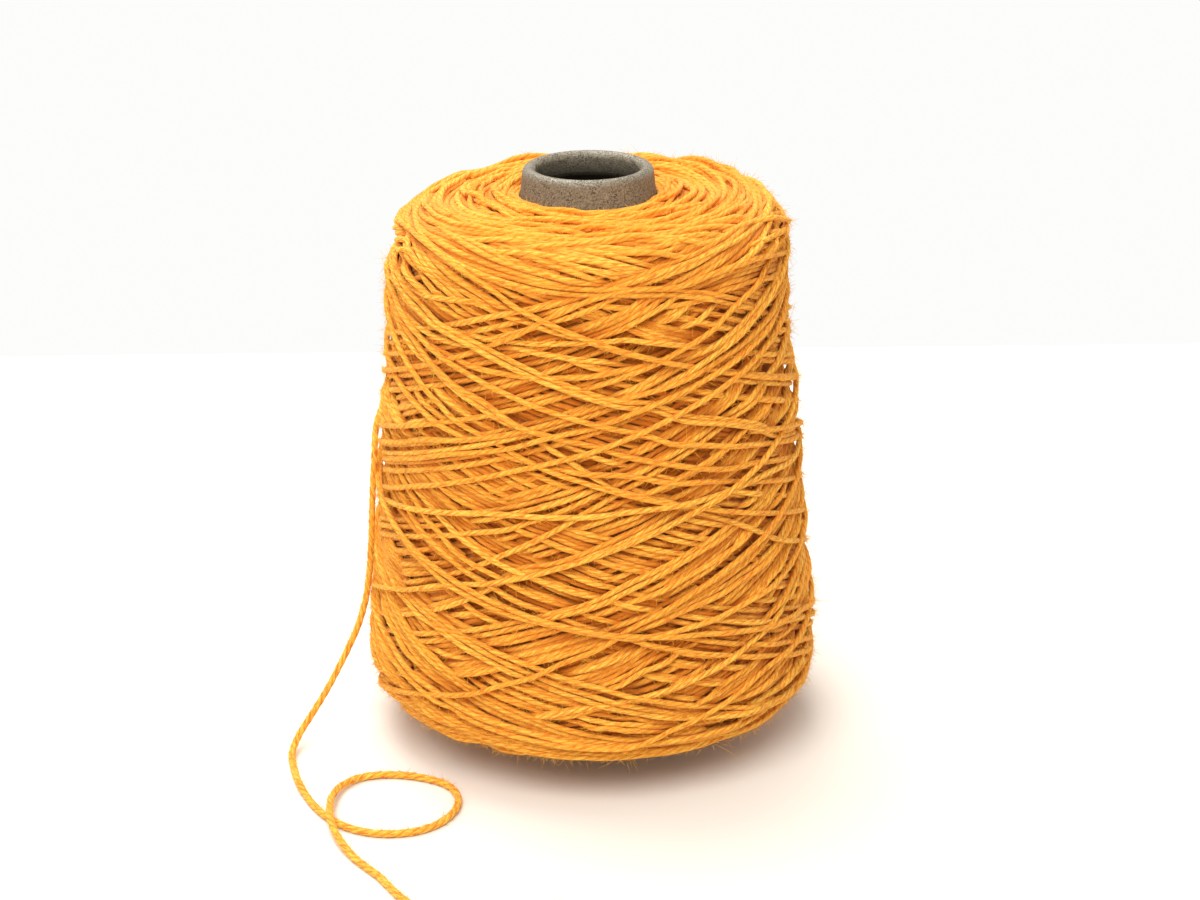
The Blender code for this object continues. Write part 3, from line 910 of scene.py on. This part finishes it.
# Each row is how many lie side by side, how far they stand out, and their line: a turn from
# the front in degrees, and a height in mm. A later row lies over an earlier one.
outerTurns = [
    # beds of parallel turns
    (4, 0, [(-56, 160), (-43, 158.5), (-32, 156.5), (-23, 153), (-13, 149.5)]),
    (2, 0, [(-72, 160), (-54, 161), (-38, 160), (-28, 158), (-18, 154.5), (-8, 149)]),
    (3, 0, [(-70, 157), (-60, 153.5), (-50, 149.5), (-38, 145)]),
    (3, 0, [(35, 152.5), (45, 156), (54, 158.5), (65, 160), (79, 160.5)]),
    (4, 0, [(35, 147), (45, 148), (61, 146.5), (71, 145)]),
    (3, 0, [(14, 152), (20, 154), (27, 155.5), (33, 156.5)]),
    (4, 0, [(-2, 137), (8, 141), (19, 146.5), (34, 151)]),
    (5, 0, [(-58, 97), (-39, 91), (-20, 85), (-6, 80)]),
    (4, 0, [(-30, 67), (-20, 63.5), (-10, 60), (4, 55)]),
    (3, 0, [(-29, 29.5), (-18, 30.5), (-9, 30.5), (4, 31), (14, 31.5), (23, 29.5), (33, 26.5)]),
    (5, 0, [(-75, 39.5), (-69, 34), (-62, 28.5), (-54, 24.5), (-43, 21.5), (-33, 18.5), (-22, 17.5)]),
    (5, 0, [(24, 17), (36, 18), (47, 21), (58, 23.5), (67, 27), (74, 32.5), (78, 40)]),
    (4, 0, [(-55, 53.5), (-43, 50.5), (-37, 49), (-30, 46.5)]),
    (5, 0, [(0, 38), (6, 40.5), (12, 44), (19, 46.5), (28, 50)]),
    (4, 0, [(24, 24), (32, 29), (42, 32.5), (53, 36.5), (63, 40.5)]),
    (5, 0, [(0, 28.5), (10, 26.5), (17, 24.5), (25, 23.5)]),
    (4, 0, [(24, 66), (36, 72), (48, 78), (60, 84)]),
    (3, 0, [(38, 113), (50, 121), (62, 127), (74, 132)]),
    (4, 0, [(-56, 90), (-44, 84), (-30, 77), (-18, 72)]),
    # single turns and pairs over them
    (1, 0, [(-64, 49), (-54, 44), (-49, 39.5), (-41, 37), (-34, 33.5), (-26, 29)]),
    (1, 0, [(-42, 39), (-34, 43.5), (-27, 47), (-19, 51), (-8, 55)]),
    (1, 0, [(-36, 41), (-29, 42), (-20, 44), (-12, 47)]),
    (2, 0, [(0, 31), (8, 32), (15, 33.5), (23, 36), (33, 40)]),
    (1, 0, [(10, 50), (19, 46.5), (28, 43), (34, 41), (40, 40), (50, 39.5), (62, 38.5)]),
    (1, 0, [(-55, 142.5), (-43, 143.5), (-33, 144.5), (-26, 142.5), (-16, 140.5), (-3, 136.7)]),
    (1, 0, [(-43, 136), (-33, 139.5), (-24, 142.5), (-16, 144.5), (-8, 146.5), (2, 149.2)]),
    (1, 0, [(-28, 134.8), (-10, 135.2), (0, 135.8), (10, 136.2), (20, 134.4), (28, 132.2)]),
    (1, 0, [(-29, 132), (-20, 133), (-10, 132.2), (0, 131), (12, 128)]),
    (1, 0, [(-20, 125.4), (-8, 125.6), (0, 126.5), (10, 128), (20, 129.2), (30, 130)]),
    (2, 0, [(0, 149.5), (14, 149), (26, 147.5), (37, 144.5), (46, 141), (54, 137.5)]),
    (2, 0, [(-24, 66), (-20, 69), (-10, 72), (2, 77), (10, 80.5), (20, 85), (26, 88)]),
    (1, 0, [(-33, 78.5), (-20, 82.5), (-10, 87), (-3, 90.5), (4, 94), (10, 97)]),
    (1, 0, [(-28, 71), (-20, 76), (-10, 82), (-4, 86), (4, 91)]),
    (1, 0, [(-62, 81), (-51, 74), (-43, 71), (-37, 68), (-25, 63.5)]),
    (1, 0, [(-52, 80.5), (-43, 75.5), (-38, 72.5), (-31, 69.5), (-25, 67.5), (-14, 63)]),
    (1, 0, [(-47, 82), (-37, 77.5), (-31, 74.5), (-25, 72), (-15, 68.5), (-4, 65)]),
    (1, 0, [(-21, 23.5), (-14, 27), (-8, 29.5), (0, 31)]),
    (2, 0, [(5, 53), (17, 57), (24, 59.8), (30, 61.8), (40, 65), (50, 69), (60, 72), (70, 74)]),
    (2, 0, [(18, 56), (25, 58), (33, 59.5), (41, 61.5), (48, 63)]),
    (2, 0, [(-12, 57), (3, 62.5), (10, 66.3), (19, 70), (31, 74.5), (40, 77.5), (50, 80), (60, 83)]),
    (2, 0, [(10, 121), (20, 125.2), (30, 128.3), (40, 131.3), (50, 135), (60, 139), (70, 142)]),
    (2, 0, [(27, 120.2), (40, 124.4), (50, 128.5), (60, 131.4), (70, 133.5)]),
    # steep beds at the left of the foot
    (3, 0, [(-68, 55.5), (-56, 52), (-45, 49.3), (-36, 46.8), (-30, 45)]),
    (3, 0, [(-70, 45.5), (-62, 41.5), (-54, 37.5), (-46, 34), (-38, 31)]),
    (2, 0, [(-76, 55), (-67, 49.1), (-59, 44.5), (-50, 40.5), (-43, 37.5), (-33, 32.4), (-24, 29)]),
    (3, 0, [(-80, 34), (-71, 28.5), (-62, 25), (-51, 22.4), (-41, 19.8), (-32, 18)]),
    (2, 0, [(-78, 41), (-72, 36.8), (-66, 33.8), (-54, 31), (-45, 28.7), (-37, 26.8), (-28, 24)]),
    # the proudest turns, over all the others
    (1, 0, [(27.5, 132.6), (35.5, 136), (40.5, 139), (48, 142)]),
    (1, 0, [(0, 98.5), (5, 94.8), (10, 93), (20, 89.5), (30, 84), (38, 80), (46, 75.5), (58, 68),
            (72, 62)]),
    (1, 0, [(0, 99), (10, 98), (23, 94.5), (30, 93.5), (40, 91), (50, 88)]),
    (1, 0, [(-29, 132.5), (-20, 137), (-15, 140), (-10, 142.7), (0, 147.3), (6, 149), (13, 149.8),
            (27, 149.5), (35, 151), (46, 152), (60, 151), (73, 148)]),
    (1, 0, [(-58, 120), (-45, 113), (-39, 110), (-32, 107.5), (-25, 105), (-15, 101), (0, 96)]),
    (1, 0.2, [(-81, 157.5), (-69, 158), (-52, 156.5), (-41, 154), (-30, 150), (-24, 147)]),
    (1, 0.2, [(43, 131), (49, 134), (56, 137), (64, 140.5), (73, 143.5)]),
    (1, 0.2, [(-75, 92.5), (-62, 97), (-52, 101), (-36, 105), (-20, 109.5), (-10, 113), (2, 117.5),
              (10, 119.5), (21, 122)]),
    (2, 0.1, [(-59.5, 139.7), (-50, 137), (-40, 134.6), (-33, 132.8), (-20, 128), (-10, 124.5),
              (-3, 122), (10, 118), (17.5, 116.5), (24, 113), (39, 108.5), (49, 105), (61, 99), (76, 94)]),
    (1, 0.1, [(-69.5, 132.5), (-59.5, 128.5), (-50, 125), (-41, 120.7), (-29, 116.5), (-19, 111.5),
              (-10, 109), (2, 106), (10, 103.2), (20, 100.5), (30, 97.5), (39.5, 95), (48, 94), (60, 91)]),
    (1, 0.2, [(-72, 88.5), (-51, 96), (-41, 99.5), (-32, 102), (-20, 105.5), (-12, 108.5), (2, 112),
              (11, 115.5), (20, 118), (28, 120.5)]),
    (1, 0.5, [(8, 111), (16, 108.5), (20, 106.5), (30, 104), (40, 101.5), (50, 99), (61, 96), (76, 92)]),
    (1, 0.3, [(-70, 80.5), (-50, 88), (-40, 91.5), (-33, 94), (-20, 99), (-10, 102), (2, 105.7),
              (10, 108.6), (20, 112.5), (27, 115)]),
    (1, 0.4, [(-62, 78), (-51, 80.5), (-40, 83), (-28, 85.5), (-10, 86.5), (1, 87), (10, 88),
              (20, 88.3), (31, 88.2), (43, 89), (52, 89.5), (66, 88)]),
    (1, 0.3, [(-57, 33), (-47, 29.5), (-40, 27.5), (-31, 25), (-22, 23.5), (-12, 21), (-2, 19)]),
    (1, 0.3, [(-40, 28.5), (-30, 32), (-22, 36.5), (-15, 39.5), (-8, 44), (2, 49), (10, 54), (18, 58)]),
    (1, 0.3, [(1, 18.5), (8, 18.5), (15, 20.5), (23, 23), (33, 26), (44, 30.5), (52, 33), (63, 34),
              (72, 36)]),
    (1, 0.3, [(-69, 50), (-54, 55.5), (-43, 60.5), (-29, 64.5), (-19, 68), (-11, 71)]),
    (1, 0.3, [(-50, 66), (-40, 62), (-30, 59.5), (-20, 56.7), (-10, 55.3), (-4, 53.8), (2, 52.8),
              (10, 51.3), (18, 51.3), (25, 52), (34, 53), (45, 55), (55, 55.7), (63, 57.5)]),
    (1, 0.4, [(12, 51.5), (28, 49.2), (38, 47.3), (50, 44.5), (60, 43), (70, 41)]),
]

sideBySide = 1.5
sways = {"single": 0.12, "several": 0.3}
lineStep = 0.02  # radians between the points of a line
levelEvery = 4  # rows
carrying = {
    "angle": 18.0,  # of the winding on the side
    "reach": (130.0, 260.0),
    "easing": 14.0,  # before its turn-back
    "step": 2.0,
    "turning": 0.09,  # share of the way to its angle that each step turns it
    "level": 0.17,  # slope up to which a turn counts as level
    "levelTurning": 0.05,
}


def smoothLine(row):
    # a smooth line through the row's own points
    degrees, heights = np.array(row, float).T
    turn, along = np.radians(degrees), alongAt(heights)
    fine = np.linspace(turn[0], turn[-1], int(abs(turn[-1] - turn[0]) / lineStep) + 12)
    slope = np.gradient(along, turn)
    place = np.clip(np.searchsorted(turn, fine) - 1, 0, len(turn) - 2)
    span = turn[place + 1] - turn[place]
    share = (fine - turn[place]) / span
    return fine, ((2 * share ** 3 - 3 * share ** 2 + 1) * along[place]
                  + (share ** 3 - 2 * share ** 2 + share) * span * slope[place]
                  + (3 * share ** 2 - 2 * share ** 3) * along[place + 1]
                  + (share ** 3 - share ** 2) * span * slope[place + 1])


def beside(along, count):
    # the lines of so many turns side by side
    sway = sways["several" if count > 1 else "single"]
    for number in range(count):
        yield along + (number - (count - 1) / 2) * sideBySide + wander(len(along), sway)


def carryOn(turn, along, slope, way):
    # goes on round the package at the winding's angle, and eases into its turn-back
    low, high = draw.uniform(*winding["topReach"]), draw.uniform(*winding["footReach"])
    wanted, turning = math.tan(math.radians(carrying["angle"])), carrying["turning"]
    if abs(slope) > carrying["level"]:
        wanted = math.copysign(wanted, slope)
    else:
        wanted *= -way  # a level turn rises as it goes round to the back
        turning = carrying["levelTurning"]
    goal = high if wanted * way > 0 else low
    turns, alongs = [turn], [along]
    for step in range(int(draw.uniform(*carrying["reach"]) / carrying["step"])):
        slope += (wanted - slope) * turning
        room = np.clip(abs(goal - alongs[-1]) / carrying["easing"], 0.0, 1.0)
        turns.append(turns[-1] + way * carrying["step"] / float(onOutline("radius", alongs[-1])))
        alongs.append(alongs[-1] + way * carrying["step"] * slope * room)
    return turns[1:], alongs[1:]


# Turns that pass steeply round the left and the right. Each row is its height there, its side
# and how many lie side by side.
edgeTurns = [
    (146, -1, 2), (128, -1, 3), (113, -1, 2), (98, -1, 2), (72, -1, 3), (50, -1, 2),
    (140, 1, 3), (120, 1, 2), (104, 1, 2), (82, 1, 3), (60, 1, 2), (44, 1, 2),
]
edgeReach = (58, 74, 90, 106, 124)  # degrees from the front
edgeRise = 0.43  # mm for each degree


def layEdgeTurns():
    paths = []
    for height, way, count in edgeTurns:
        line = [(way * spot, height + edgeRise * (spot - 90)) for spot in edgeReach[::way]]
        turn, along = smoothLine(line)
        paths += [layYarn(turn, own) for own in beside(along, count)]
    return paths


def layOuterTurns():
    paths = layEdgeTurns()
    for row, (count, raised, line) in enumerate(outerTurns, 1):
        turn, along = smoothLine(line)
        radius = float(onOutline("radius", along.mean()))
        for own in beside(along, count):
            slope = np.gradient(own, turn) / radius
            before = carryOn(turn[0], own[0], slope[0], -1)
            after = carryOn(turn[-1], own[-1], slope[-1], 1)
            whole = [np.concatenate([start[::-1], middle, end])
                     for start, middle, end in zip(before, (turn, own), after)]
            paths.append(layYarn(*whole, raised=raised))
        if row % levelEvery == 0:
            levelHeap(bodyPaths + paths)
    levelHeap(bodyPaths + paths)
    feeding = layYarn(*smoothLine(feedingTurn["line"]), endLift=feedingTurn["lift"])
    return paths + [feeding, laySlackTurn()]


# the last turn comes down round the back to where the loose end leaves
feedingTurn = {
    "line": [(-300, 161), (-262, 150), (-200, 131), (-150, 112.5), (-125, 102.5), (-112, 97.3),
             (-98.6, 93.6)],
    "lift": 1.5,
}

# one turn hangs slack, and stands off the package at its right
slackTurn = {
    "line": [(48, 103.5), (60, 100.5), (72, 97.2), (84, 93.6), (98, 89.0), (118, 82.0), (140, 75)],
    "at": 84.0,
    "spread": 6.5,
    "stands": 2.8,
}


def laySlackTurn():
    path = layYarn(*smoothLine(slackTurn["line"]))
    near = (np.degrees(path["turn"]) - slackTurn["at"]) / slackTurn["spread"]
    path["lift"] = path["lift"] + slackTurn["stands"] * np.exp(-near ** 2)
    return path


outerPaths = layOuterTurns()
print("outer turns:", len(outerPaths), "lengths")


# tension presses the layers together, more so the deeper they lie and on the upper end
pressing = {"crests": 0.8, "along": (22.0, 60.0), "depths": (1.15, 2.6)}
# painted shade: yarn that lies deep in the heap is painted darker, less so on the upper end and the foot
paintedShading = {
    "depths": (-0.2, 1.9),  # below the mean of the heap, before it is pressed
    "along": (20, 44, 165, 192),
    "share": (0.3, 1.0, 1.0, 0.6),
}


def pressed(lift, along):
    crests = pressing["crests"]
    depths = np.interp(along, pressing["along"], pressing["depths"])
    return np.where(lift > 0, crests * np.log1p(np.maximum(lift, 0) / crests),
                    -depths * np.log1p(np.maximum(-lift, 0) / depths))


def pressPackage(paths):
    global heap
    for path in paths:
        slump = slumpAt(path["turn"], path["along"])
        # how much painted shade it gets, from how far it lies below the mean of the heap
        below = meanAt(path["along"]) - slump - path["lift"]
        path["deep"] = np.interp(below, paintedShading["depths"], (0, 1))
        path["deep"] *= np.interp(path["along"], paintedShading["along"], paintedShading["share"])
        path["lift"] = pressed(path["lift"] + slump, path["along"]) - slump
    heap = pressed(heap + slumpOfHeap, outline["along"][:, None]) - slumpOfHeap


pressPackage(bodyPaths + outerPaths)


# yarn meshes of all that shows

showing = {
    "slack": 0.25,
    "margin": 7,  # steps that a run goes on under what covers it
    "shortest": 22,
    "deep": -2.3,  # mm below the crests, under which a run is drawn more simply
    "uneven": 0.05,  # share by which a yarn's thickness varies
    "outer": {"each": 8, "sectionPoints": 6, "mostPoints": 15500},
    "inner": {"each": 9, "sectionPoints": 5, "mostPoints": 18500},
}


def visibleRuns(paths):
    # leaves out the stretches that lie under other yarn
    runs = {"outer": [], "inner": []}
    for path in paths:
        turn, along, lift = (path[key] for key in ("turn", "along", "lift"))
        seen = np.zeros(len(turn), bool)
        for offset in laying["across"][::2]:
            cells = cellsAt(turn + offset * path["side"][0], along + offset * path["side"][1])
            seen |= heap[cells] < lift + halfAt(offset) + showing["slack"]
        path["seen"] = seen
        seen = np.convolve(seen, np.ones(2 * showing["margin"] + 1), mode="same") > 0
        points = inSpace(turn, along, lift) * mm
        slump = slumpAt(turn, along)
        phase, shade = draw.uniform(0, fullTurn), draw.uniform(0, 1)
        thick = 1.0 + wander(len(turn), showing["uneven"])
        edges = np.flatnonzero(np.diff(np.concatenate([[0], seen.astype(int), [0]])))
        for start, end in zip(edges[::2], edges[1::2]):
            if end - start < showing["shortest"]:
                continue
            level = (lift + slump)[start:end].mean()
            layer = "inner" if level < showing["deep"] else "outer"
            steps = round((end - start) / showing[layer]["each"]) + 1
            between = np.linspace(start + 1, end - 2, steps).round().astype(int)
            kept = np.concatenate([[start], between, [end - 1]])
            own = thick[kept]
            own[0] = own[-1] = tipThickness
            runs[layer].append({"points": points[kept], "thick": own, "phase": phase,
                                "shade": shade, "deep": path["deep"][kept]})
    return runs


def spinPackage():
    runs = visibleRuns(bodyPaths + outerPaths)
    for layer, group in runs.items():
        plan = showing[layer]
        batches, points = [[]], 0
        for run in group:
            if points + len(run["points"]) > plan["mostPoints"]:
                batches.append([])
                points = 0
            batches[-1].append(run)
            points += len(run["points"])
        for number, batch in enumerate(batches):
            piece = spinYarn(f"{layer}_turns_{number + 1}", batch, spinning,
                             yarn["woundRadius"], 0.0, plan["sectionPoints"])
            seat(piece)
            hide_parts("yarn_package")
            print("  ", piece.name, len(batch), "runs", len(piece.data.polygons) * 2, "triangles")


def fuzzPackage(paths):
    # roots wherever a yarn shows near the surface
    roots = {"at": [], "ahead": [], "out": [], "along": [], "deep": []}
    for path in paths:
        turn, along, lift = (path[key] for key in ("turn", "along", "lift"))
        kept = path["seen"] & (lift > fuzz["above"])
        at = inSpace(turn, along, lift)
        found = {"at": at, "ahead": unit(np.gradient(at, axis=0)), "along": along,
                 "out": inSpace(turn, along, lift + 1) - at, "deep": path["deep"]}
        for key, values in found.items():
            roots[key].append(values[kept])
    roots = {key: np.concatenate(values) for key, values in roots.items()}
    roots["cut"] = np.interp(roots["along"], fuzz["shortAlong"], fuzz["shortShare"])
    seat(spinFuzz("wound_fuzz_2", fibreRuns(roots, fuzz["woundToo"])))
    hairs = fibreRuns(roots, fuzz["wound"])
    for plan, start in fuzz["straysFrom"].items():
        kept = roots["along"] > start
        hairs += fibreRuns({key: values[kept] for key, values in roots.items()}, fuzz[plan])
    seat(spinFuzz("wound_fuzz_1", hairs))


spinPackage()
fuzzPackage(bodyPaths + outerPaths)
print("winding spun")


# package body: the imported yarn under the turns that show, painted dark as shade

body = {
    "below": (1.9, 3.1),  # the crests, on the upper end and on the side
    "along": (22.0, 40.0),
    "around": 96,
    "each": 6,
    "boreRows": 12,
    "bore": 20.3,  # its radius at the top
    "boreTaper": 0.104,
    "wall": 0.3,  # no point of the outside lies nearer to the bore
    "roughness": 0.95,
    "noise": (1.0, 3.0),
    "grain": (260, 260, 900),
    # painted shade: coloured far darker and redder than the yarn, as yarn seen deep in shade between the
    # turns
    "dark": (0.42, 0.10, 0.004, 1),
    "light": (0.70, 0.22, 0.009, 1),
}


def turned(name, rows, around):
    # a closed section of (radius, height) rows, turned once round the axis
    corners = [(radius * mm, 0, height * mm) for radius, height in rows]
    edges = [(index, (index + 1) % len(corners)) for index in range(len(corners))]
    carrier = meshPiece(name + "_section", corners, edges)
    screw = carrier.modifiers.new("Turn", "SCREW")
    screw.axis = "Z"
    screw.steps = screw.render_steps = around
    screw.use_merge_vertices = True
    screw.merge_threshold = 0.00002
    return plainMesh(carrier, name)


def boreAt(height):
    return body["bore"] + (package["top"] - height) * body["boreTaper"]


def makeBody():
    each = slice(None, None, body["each"])
    along, radius, height, outR, outZ = (values[each] for values in outline.values())
    below = np.interp(along, body["along"], body["below"])
    outside = [(r, z) for r, z in zip(radius - below * outR, height - below * outZ)
               if r > boreAt(z) + body["wall"]]
    heights = np.linspace(outside[-1][1], outside[0][1], body["boreRows"])
    bore = [(boreAt(z), z) for z in heights]
    piece = turned("package_body", outside + bore, body["around"])
    for corner in piece.data.vertices:  # slumps as the winding does
        reach, height = math.hypot(corner.co.x, corner.co.y) / mm, corner.co.z / mm
        turn = math.atan2(corner.co.x, -corner.co.y)
        row = np.argmin(np.hypot(outline["radius"] - reach, outline["height"] - height))
        slump = slumpAt(turn, outline["along"][row])
        reach -= slump * outline["outR"][row]
        height -= slump * outline["outZ"][row]
        corner.co = Vector((reach * math.sin(turn), -reach * math.cos(turn), height)) * mm
    finish, tree, look = newFinish("packed yarn in painted shade", body["roughness"])
    stretched = addNode(tree, "ShaderNodeMapping",
                        {"Vector": objectSpot(tree), "Scale": body["grain"]}).outputs[0]
    grain = noiseNode(tree, stretched, *body["noise"])
    tree.links.new(mixColours(tree, grain, body["dark"], body["light"]), look["Base Color"])
    piece.data.materials.append(finish)
    piece.data.shade_smooth()
    seat(piece)
    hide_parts("yarn_package")


makeBody()
print("package body")


# core: a tapered tube of moulded pulp with a round rim

core = {
    "height": 170.0,
    "taper": math.radians(5.95),
    "noseRadius": 18.8,  # outside, where the round rim begins
    "rim": 2.0,  # radius of the rim's rounding
    "rimRows": 17,
    "fineDownTo": (158, 110),  # outside and inside
    "fineStep": (0.8, 1.2),
    "coarseStep": (6.0, 5.0),
    "baseWall": 3.0,
    "baseEdge": 0.4,
    "around": 180,
    "gloss": 0.65,  # specular level outside, and of the bore below the rim
    # the bore's copy of the finish reflects far less, as painted shade
    "boreGloss": 0.06,
    "boreFrom": 164.0,
    "flatBelow": 1.5,
    "inward": 1.0,  # from the middle of the wall, where the uneven inside begins
    "uneven": (0.05, 0.22),  # how deep, outside and inside
    "unevenScales": (0.55, 1.3, 0.6),  # coarse and fine, and the share of the fine
    "boreShadeOver": 1.4,  # from the middle of the wall inwards, over which the bore is painted into shade
    "boreShadeFrom": (168.4, 162.8),  # and the heights over which it does
    "clouds": (90.0, 4.0),
    "cloudTone": (0.4, -0.05),  # factor and term
    "grain": (2000.0, 3.0, 0.6),
    "grainTone": (0.36, 0.64),
    "grainShare": 0.7,
    "speckNoise": (420.0, 2.0),
    "specks": (1900.0, 0.69, 0.15, 0.85),  # their scale, share, softness and strength
    "rubbedFrom": (166.5, 169.6),  # the rim is rubbed smooth, by height
    "smoothedTop": (0.08, 0.45, 0.8, 0.16),
    "bump": (0.9, 0.24),  # strength and depth
    "light": (0.290, 0.245, 0.165, 1.0),
    "dark": (0.088, 0.073, 0.049, 1.0),
    # painted shade: the colour of the bore deep below the rim, nearly black
    "inside": (0.007, 0.0055, 0.0035, 1.0),
    "pores": (0.036, 0.028, 0.018, 1.0),
}


def coreRows():
    # its closed section, from the inside of the rim over the nose and down to the base
    bead, height = core["rim"], core["height"]
    (outerTo, outerFine, outerCoarse), (innerTo, innerFine, innerCoarse) = zip(
        core["fineDownTo"], core["fineStep"], core["coarseStep"])
    slope = math.tan(core["taper"])
    base = core["noseRadius"] + (height - bead) * slope
    rows = []
    for turn in np.linspace(0, math.pi, core["rimRows"]):
        radius = core["noseRadius"] - bead - bead * math.cos(turn)
        rows.append((radius, height - bead + bead * math.sin(turn)))
    bands = np.concatenate([np.arange(height - bead - outerFine, outerTo, -outerFine),
                            np.arange(outerTo - 1, 2, -outerCoarse)])
    rows += [(core["noseRadius"] + (height - bead - band) * slope, band) for band in bands]
    edge, inner = core["baseEdge"], base - core["baseWall"]
    rows += [(base, edge), (base - edge, 0), (inner + edge, 0), (inner, edge)]
    bands = np.concatenate([np.arange(4, innerTo, innerCoarse),
                            np.arange(innerTo, height - bead, innerFine)])
    nose = core["noseRadius"] - 2 * bead
    rows += [(inner + (nose - inner) * band / (height - bead), band) for band in bands]
    return rows


def wallAt(height):
    # radius of the middle of the wall
    rise = core["height"] - core["rim"] - height
    return core["noseRadius"] - core["rim"] + rise * math.tan(core["taper"])


def pulpFinish(name, specular):
    finish, tree, look = newFinish(name, specular=specular)
    spot = objectSpot(tree)
    across, deep, height = partsOf(tree, spot)
    radius = mathNode(tree, "SQRT", timesPlus(tree, across, across, times(tree, deep, deep)))
    middle = timesPlus(tree, height, -math.tan(core["taper"]), wallAt(0) * mm)
    outward = mathNode(tree, "SUBTRACT", radius, middle)
    # painted shade: inside the wall's middle and below the rim, the bore is painted nearly black
    band = [edge * mm for edge in core["boreShadeFrom"]]
    inside = times(tree, mapRange(tree, outward, 0.0, -core["boreShadeOver"] * mm, 0.0, 1.0),
                   mapRange(tree, height, *band, 0.0, 1.0))

    clouds = noiseNode(tree, spot, *core["clouds"])
    grain = noiseNode(tree, spot, *core["grain"])
    scale, share, softness, strength = core["specks"]
    specks = addNode(tree, "ShaderNodeTexVoronoi", {"Vector": spot, "Scale": scale})
    speckSize = times(tree, noiseNode(tree, spot, *core["speckNoise"]), share)
    speck = mathNode(tree, "SUBTRACT", speckSize, specks.outputs["Distance"])
    pores = mapRange(tree, speck, 0.0, softness, 0.0, strength)

    tone = timesPlus(tree, clouds, *core["cloudTone"])
    tone = timesPlus(tree, mapRange(tree, grain, *core["grainTone"]), core["grainShare"], tone)
    colour = mixColours(tree, tone, core["light"], core["dark"])
    for amount, key in ((pores, "pores"), (inside, "inside")):
        colour = mixColours(tree, amount, colour, core[key])
    tree.links.new(colour, look["Base Color"])

    band = [edge * mm for edge in core["rubbedFrom"]]
    rough = mapRange(tree, times(tree, mapRange(tree, height, *band), clouds), *core["smoothedTop"])
    tree.links.new(mathNode(tree, "MAXIMUM", rough, inside), look["Roughness"])
    relief = mathNode(tree, "SUBTRACT", grain, pores)
    tree.links.new(bumpNode(tree, relief, *core["bump"]), look["Normal"])
    return finish


def makeCore():
    piece = turned("pulp_core", coreRows(), core["around"])
    outside, inside = core["uneven"]
    coarse, fine, share = core["unevenScales"]
    for corner in piece.data.vertices:
        spot = corner.co / mm
        if spot.z < core["flatBelow"]:
            continue  # the base stays flat
        out = Vector((spot.x, spot.y, 0)).normalized()
        depth = inside if spot.xy.length < wallAt(spot.z) - core["inward"] else outside
        bumps = noise.noise(spot * coarse) + share * noise.noise(spot * fine)
        corner.co = (spot + out * bumps * depth) * mm
    piece.data.materials.append(pulpFinish("speckled pulp", core["gloss"]))
    # a copy of the finish that reflects less, for the bore in painted shade
    piece.data.materials.append(pulpFinish("pulp of the bore in painted shade", core["boreGloss"]))
    for face in piece.data.polygons:
        spot = face.center / mm
        if core["baseWall"] < spot.z < core["boreFrom"] and spot.xy.length < wallAt(spot.z):
            face.material_index = 1
    piece.data.shade_smooth()
    seat(piece)
    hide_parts("core")


makeCore()
print("core")

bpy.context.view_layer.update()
triangles = sum(len(face.vertices) - 2 for made in bpy.data.objects if made.type == "MESH"
                for face in made.data.polygons)
print("triangles", triangles)
